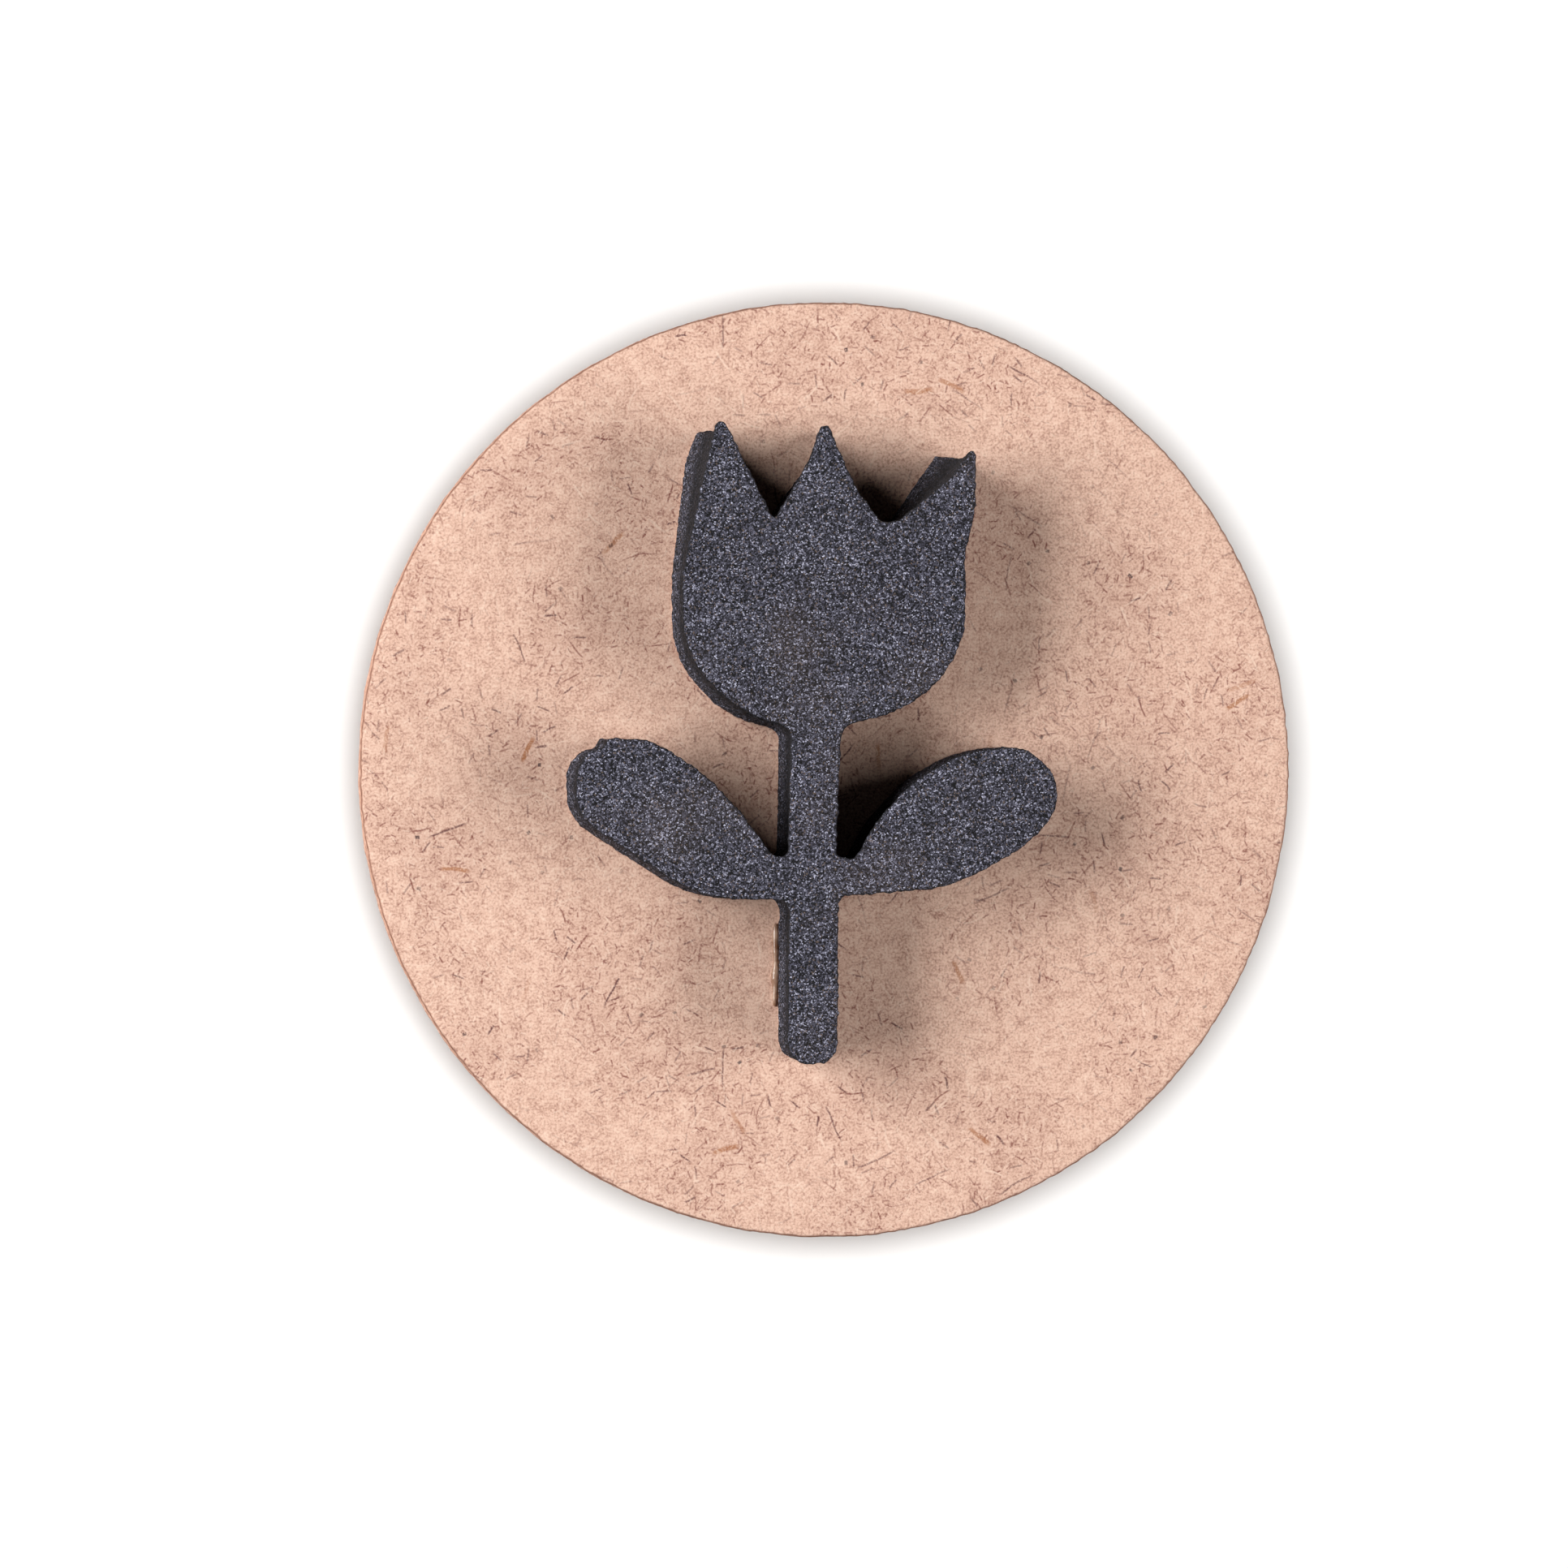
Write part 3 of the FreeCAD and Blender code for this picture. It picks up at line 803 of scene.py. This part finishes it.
class FOAM_STAMP_OT_board(bpy.types.Operator):
    """Saw the round board"""
    bl_idname = "foam_stamp.board"
    bl_label = "Fibreboard disc"

    def execute(self, context):
        props = context.scene.board
        outer = props.radius / MM
        bottom = props.bottom / MM
        face = props.face / MM
        edge = props.edge_break / MM
        # Profile: from the middle of the back, round the rim, to the middle of the face. Both corners of
        # the rim are quarter circles.
        turn = np.linspace(0, math.pi / 2, 6)
        flat = outer - edge
        back_radius = np.linspace(0.6, flat, 16)[:-1]
        side_height = np.linspace(bottom + edge, face - edge, 12)[1:-1]
        still = np.ones(len(back_radius))
        radius = np.concatenate([back_radius, flat + edge * np.sin(turn), np.full(len(side_height), outer),
                                 flat + edge * np.cos(turn), back_radius[::-1]])
        height = np.concatenate([bottom * still, bottom + edge * (1 - np.cos(turn)), side_height,
                                 face - edge * (1 - np.sin(turn)), face * still])
        # Crumb: two sizes of noise move the rim along the radius, and fade out a little way in from it.
        fade_width = 1.0
        around = 900
        rings = turned_rings(radius, height, around)
        noise = layered_noise(rings.reshape(-1, 3), ((0.6, 0.45), (0.5, 1.6)), props.seed)
        fade = np.clip((radius - flat + fade_width) / fade_width, 0, 1)[:, None] ** 2
        crumb = noise.reshape(-1, around) * fade
        mesh = new_mesh("board", skin(widened(rings, crumb * props.rim_crumb / MM)))
        finish_piece("board", mesh, fibreboard_material(props), "mdf_disc", math.radians(60))
        return {"FINISHED"}


class FOAM_STAMP_OT_knob_glue(bpy.types.Operator):
    """Squeeze the glue ring out round the foot of the knob"""
    bl_idname = "foam_stamp.knob_glue"
    bl_label = "Knob glue"

    def execute(self, context):
        props = context.scene.glue
        top = props.ring_high / MM
        film = props.film / MM
        drop = top - film - props.ring_low / MM
        seat = context.scene.knob.seat_radius / MM
        reach = props.ring_radius / MM - seat
        # Profile: a flat disc between foot and board, with a rounded ridge round the foot as a half circle.
        overlap = 0.05
        turn = np.linspace(0, math.pi, 15)
        disc_radius = np.array([1.0, seat * 0.6])
        ridge_radius = seat - overlap + reach * (1 - np.cos(turn)) / 2
        ridge_height = top - film * (1 + np.cos(turn)) / 2 - drop * np.sin(turn)
        radius = np.concatenate([disc_radius, ridge_radius, disc_radius[::-1]])
        height = np.concatenate([[top - film] * 2, ridge_height, [top] * 2])
        # Swell: noise moves the ridge in and out, and leaves the part under the foot alone.
        around = 240
        rings = turned_rings(radius, height, around)
        points = rings.reshape(-1, 3)
        broad = value_noise(points * [1, 1, 0.2], 3.0, props.seed)
        fine = value_noise(points, 1.0, props.seed)
        beyond_foot = np.clip(radius - seat, 0, 1)[:, None]
        swell = (0.12 * broad + 0.05 * fine).reshape(-1, around) * beyond_foot
        mesh = new_mesh("knob_glue", skin(widened(rings, swell)))
        material = hot_melt_material("knob_hot_melt", props)
        finish_piece("knob_glue_ring", mesh, material, "knob_glue", math.radians(70))
        return {"FINISHED"}


class FOAM_STAMP_OT_knob(bpy.types.Operator):
    """Turn the knob"""
    bl_idname = "foam_stamp.knob"
    bl_label = "Beech knob"

    def execute(self, context):
        props = context.scene.knob
        end = props.end_radius / MM
        grip = props.grip_radius / MM
        waist = props.waist_radius / MM
        seat = props.seat_radius / MM
        grip_z = props.grip_height / MM
        waist_z = props.waist_height / MM
        foot_z = props.foot_height / MM
        top = props.height / MM
        corner = props.corner_break / MM
        # Profile: flat end, quarter ellipse out to the grip, half a cosine wave in to the waist, quarter
        # ellipse out to the foot, and a straight rim with its corners just broken.
        quarter = np.linspace(0, math.pi / 2, 30)
        wave = np.linspace(0, math.pi, 40)[1:]
        end_radius = np.linspace(1.0, end, 8)[:-1]
        seat_radius = np.linspace(seat - corner, 1.0, 5)[1:]
        radius = np.concatenate([end_radius, end + (grip - end) * np.sin(quarter),
                                 waist + (grip - waist) * (1 + np.cos(wave)) / 2,
                                 waist + (seat - corner - waist) * (1 - np.cos(quarter))[1:-1],
                                 [seat - corner, seat, seat, seat - corner], seat_radius])
        height = np.concatenate([end_radius * 0, grip_z * (1 - np.cos(quarter)),
                                 grip_z + (waist_z - grip_z) * wave / math.pi,
                                 waist_z + (foot_z - waist_z) * np.sin(quarter)[1:-1],
                                 [foot_z, foot_z + corner, top - corner, top], seat_radius * 0 + top])
        # Lines left by turning: noise of the height alone, so each runs right round. The flat end and the
        # foot have none.
        line_size = 0.5
        end_height = 0.05
        around = 256
        turned = (height > end_height) & (height < foot_z)
        lines = value_noise(np.column_stack([height, height * 0, height * 0]), line_size, props.seed)
        radius = radius + props.tool_mark / MM * lines * turned
        mesh = new_mesh("knob", skin(turned_rings(radius, height, around)))
        finish_piece("turned_knob", mesh, beech_material(props), "knob", math.radians(40))
        return {"FINISHED"}


class FOAM_STAMP_OT_studio(bpy.types.Operator):
    """Set up the floor, the lights and the camera"""
    bl_idname = "foam_stamp.studio"
    bl_label = "Studio"

    def execute(self, context):
        props = context.scene.studio
        scene = context.scene
        board_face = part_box("mdf_disc")[1][2]
        lit_pieces = bpy.data.collections.new("lit_by_soft_lights")
        lit_floor = bpy.data.collections.new("lit_by_floor_lights")
        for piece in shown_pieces():
            lit_pieces.objects.link(piece)

        # Floor: one flat round sheet, the points of a circle.
        angle = np.linspace(0, 2 * math.pi, 96, endpoint=False)
        circle = np.column_stack([np.cos(angle), np.sin(angle), np.zeros(len(angle))])
        sheet = new_mesh("floor", (props.floor_radius / MM * circle, [np.arange(len(angle))[None]]))
        sheet.materials.append(card_material(props))
        floor = placed("floor", sheet)
        floor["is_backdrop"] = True
        lit_floor.objects.link(floor)

        # Soft lights: degrees round from the right, degrees above the board, degrees that the box fills in
        # height and in width, and brightness on white card.
        boxes = (
            ("left_softbox", 168.0, 31.0, 32.0, 50.0, props.left_level),
            ("right_softbox", -9.0, 34.0, 26.0, 44.0, props.right_level),
        )
        for name, around, above, tall, wide, brightness in boxes:
            rise = math.radians(above)
            turn = math.radians(around)
            flat = math.cos(rise)
            towards = Vector((math.cos(turn) * flat, math.sin(turn) * flat, math.sin(rise)))
            light = bpy.data.lights.new(name, "AREA")
            light.shape = "RECTANGLE"
            light.size = 2 * props.light_distance * math.tan(math.radians(wide) / 2)
            light.size_y = 2 * props.light_distance * math.tan(math.radians(tall) / 2)
            # A matt white card at this distance and angle shows the wanted brightness.
            light.energy = brightness * math.pi ** 2 * props.light_distance ** 2 / math.sin(rise)
            place = Vector((0.0, 0.0, board_face)) + props.light_distance * towards
            holder = placed(name, light, place, towards.to_track_quat("Z", "Y").to_euler())
            holder.light_linking.receiver_collection = lit_pieces

        # The floor's own light comes from behind the camera, so the stamp hides its own shadow.
        sun = bpy.data.lights.new("floor_light", "SUN")
        sun.energy = props.floor_level * math.pi
        sun.angle = props.floor_softness
        holder = placed("floor_light", sun, turn=(0.0, -props.lean, 0.0))
        holder.light_linking.receiver_collection = lit_floor

        # A small round lamp above the board draws a narrow soft shadow on the floor, close round the board.
        lamp = bpy.data.lights.new("floor_lamp", "AREA")
        lamp.shape = "DISK"
        lamp.size = props.lamp_size
        lamp.energy = props.lamp_level * math.pi ** 2 * (props.lamp_height + board_face) ** 2
        holder = placed("floor_lamp", lamp, (props.lamp_x, 0.0, board_face + props.lamp_height))
        holder.light_linking.receiver_collection = lit_floor
        holder.visible_camera = False

        # The air is seen by the camera only and lights nothing.
        world = bpy.data.worlds.new("studio_air")
        scene.world = world
        world.use_nodes = True
        world.node_tree.nodes["Background"].inputs["Color"].default_value = props.backdrop_colour
        world.cycles_visibility.diffuse = False
        world.cycles_visibility.glossy = False

        camera = bpy.data.cameras.new("camera")
        camera.lens = camera.sensor_width * props.distance / props.framing
        camera.clip_start = 0.01
        camera.clip_end = 20.0
        above = (props.aim_x - props.distance * math.sin(props.lean), props.aim_y,
                 board_face + props.distance * math.cos(props.lean))
        scene.camera = placed("camera", camera, above, (0.0, -props.lean, 0.0))
        scene.view_settings.view_transform = "Standard"
        scene.view_settings.look = "None"
        return {"FINISHED"}


class VIEW3D_PT_foam_stamp(bpy.types.Panel):
    """Buttons and sizes of the foam stamp"""
    bl_idname = "VIEW3D_PT_foam_stamp"
    bl_label = "Foam stamp"
    bl_space_type = "VIEW_3D"
    bl_region_type = "UI"
    bl_category = "Foam stamp"

    def draw(self, context):
        for operator in OPERATORS:
            self.layout.operator(operator.bl_idname)
        for group_name, _ in SETTINGS:
            group = getattr(context.scene, group_name)
            box = self.layout.box()
            box.label(text=group_name.replace("_", " ").capitalize())
            for name in group.__annotations__:
                box.prop(group, name)


SETTINGS = (
    ("foam_die", FoamDieSettings),
    ("glue", GlueSettings),
    ("board", BoardSettings),
    ("knob", KnobSettings),
    ("studio", StudioSettings),
)
OPERATORS = (
    FOAM_STAMP_OT_foam_die,
    FOAM_STAMP_OT_foam_glue,
    FOAM_STAMP_OT_board,
    FOAM_STAMP_OT_knob_glue,
    FOAM_STAMP_OT_knob,
    FOAM_STAMP_OT_studio,
)


def register():
    """Registers the classes and gives the scene its settings."""
    for name, group in SETTINGS:
        bpy.utils.register_class(group)
        setattr(bpy.types.Scene, name, bpy.props.PointerProperty(type=group))
    for operator in OPERATORS:
        bpy.utils.register_class(operator)
    bpy.utils.register_class(VIEW3D_PT_foam_stamp)


def unregister():
    """Takes the classes and settings away again."""
    bpy.utils.unregister_class(VIEW3D_PT_foam_stamp)
    for operator in reversed(OPERATORS):
        bpy.utils.unregister_class(operator)
    for name, group in reversed(SETTINGS):
        delattr(bpy.types.Scene, name)
        bpy.utils.unregister_class(group)


def main():
    """Builds the stamp and its studio."""
    register()
    bpy.ops.foam_stamp.foam_die()
    bpy.ops.foam_stamp.foam_glue()
    bpy.ops.foam_stamp.board()
    bpy.ops.foam_stamp.knob_glue()
    bpy.ops.foam_stamp.knob()
    bpy.ops.foam_stamp.studio()


if __name__ == "__main__":
    main()
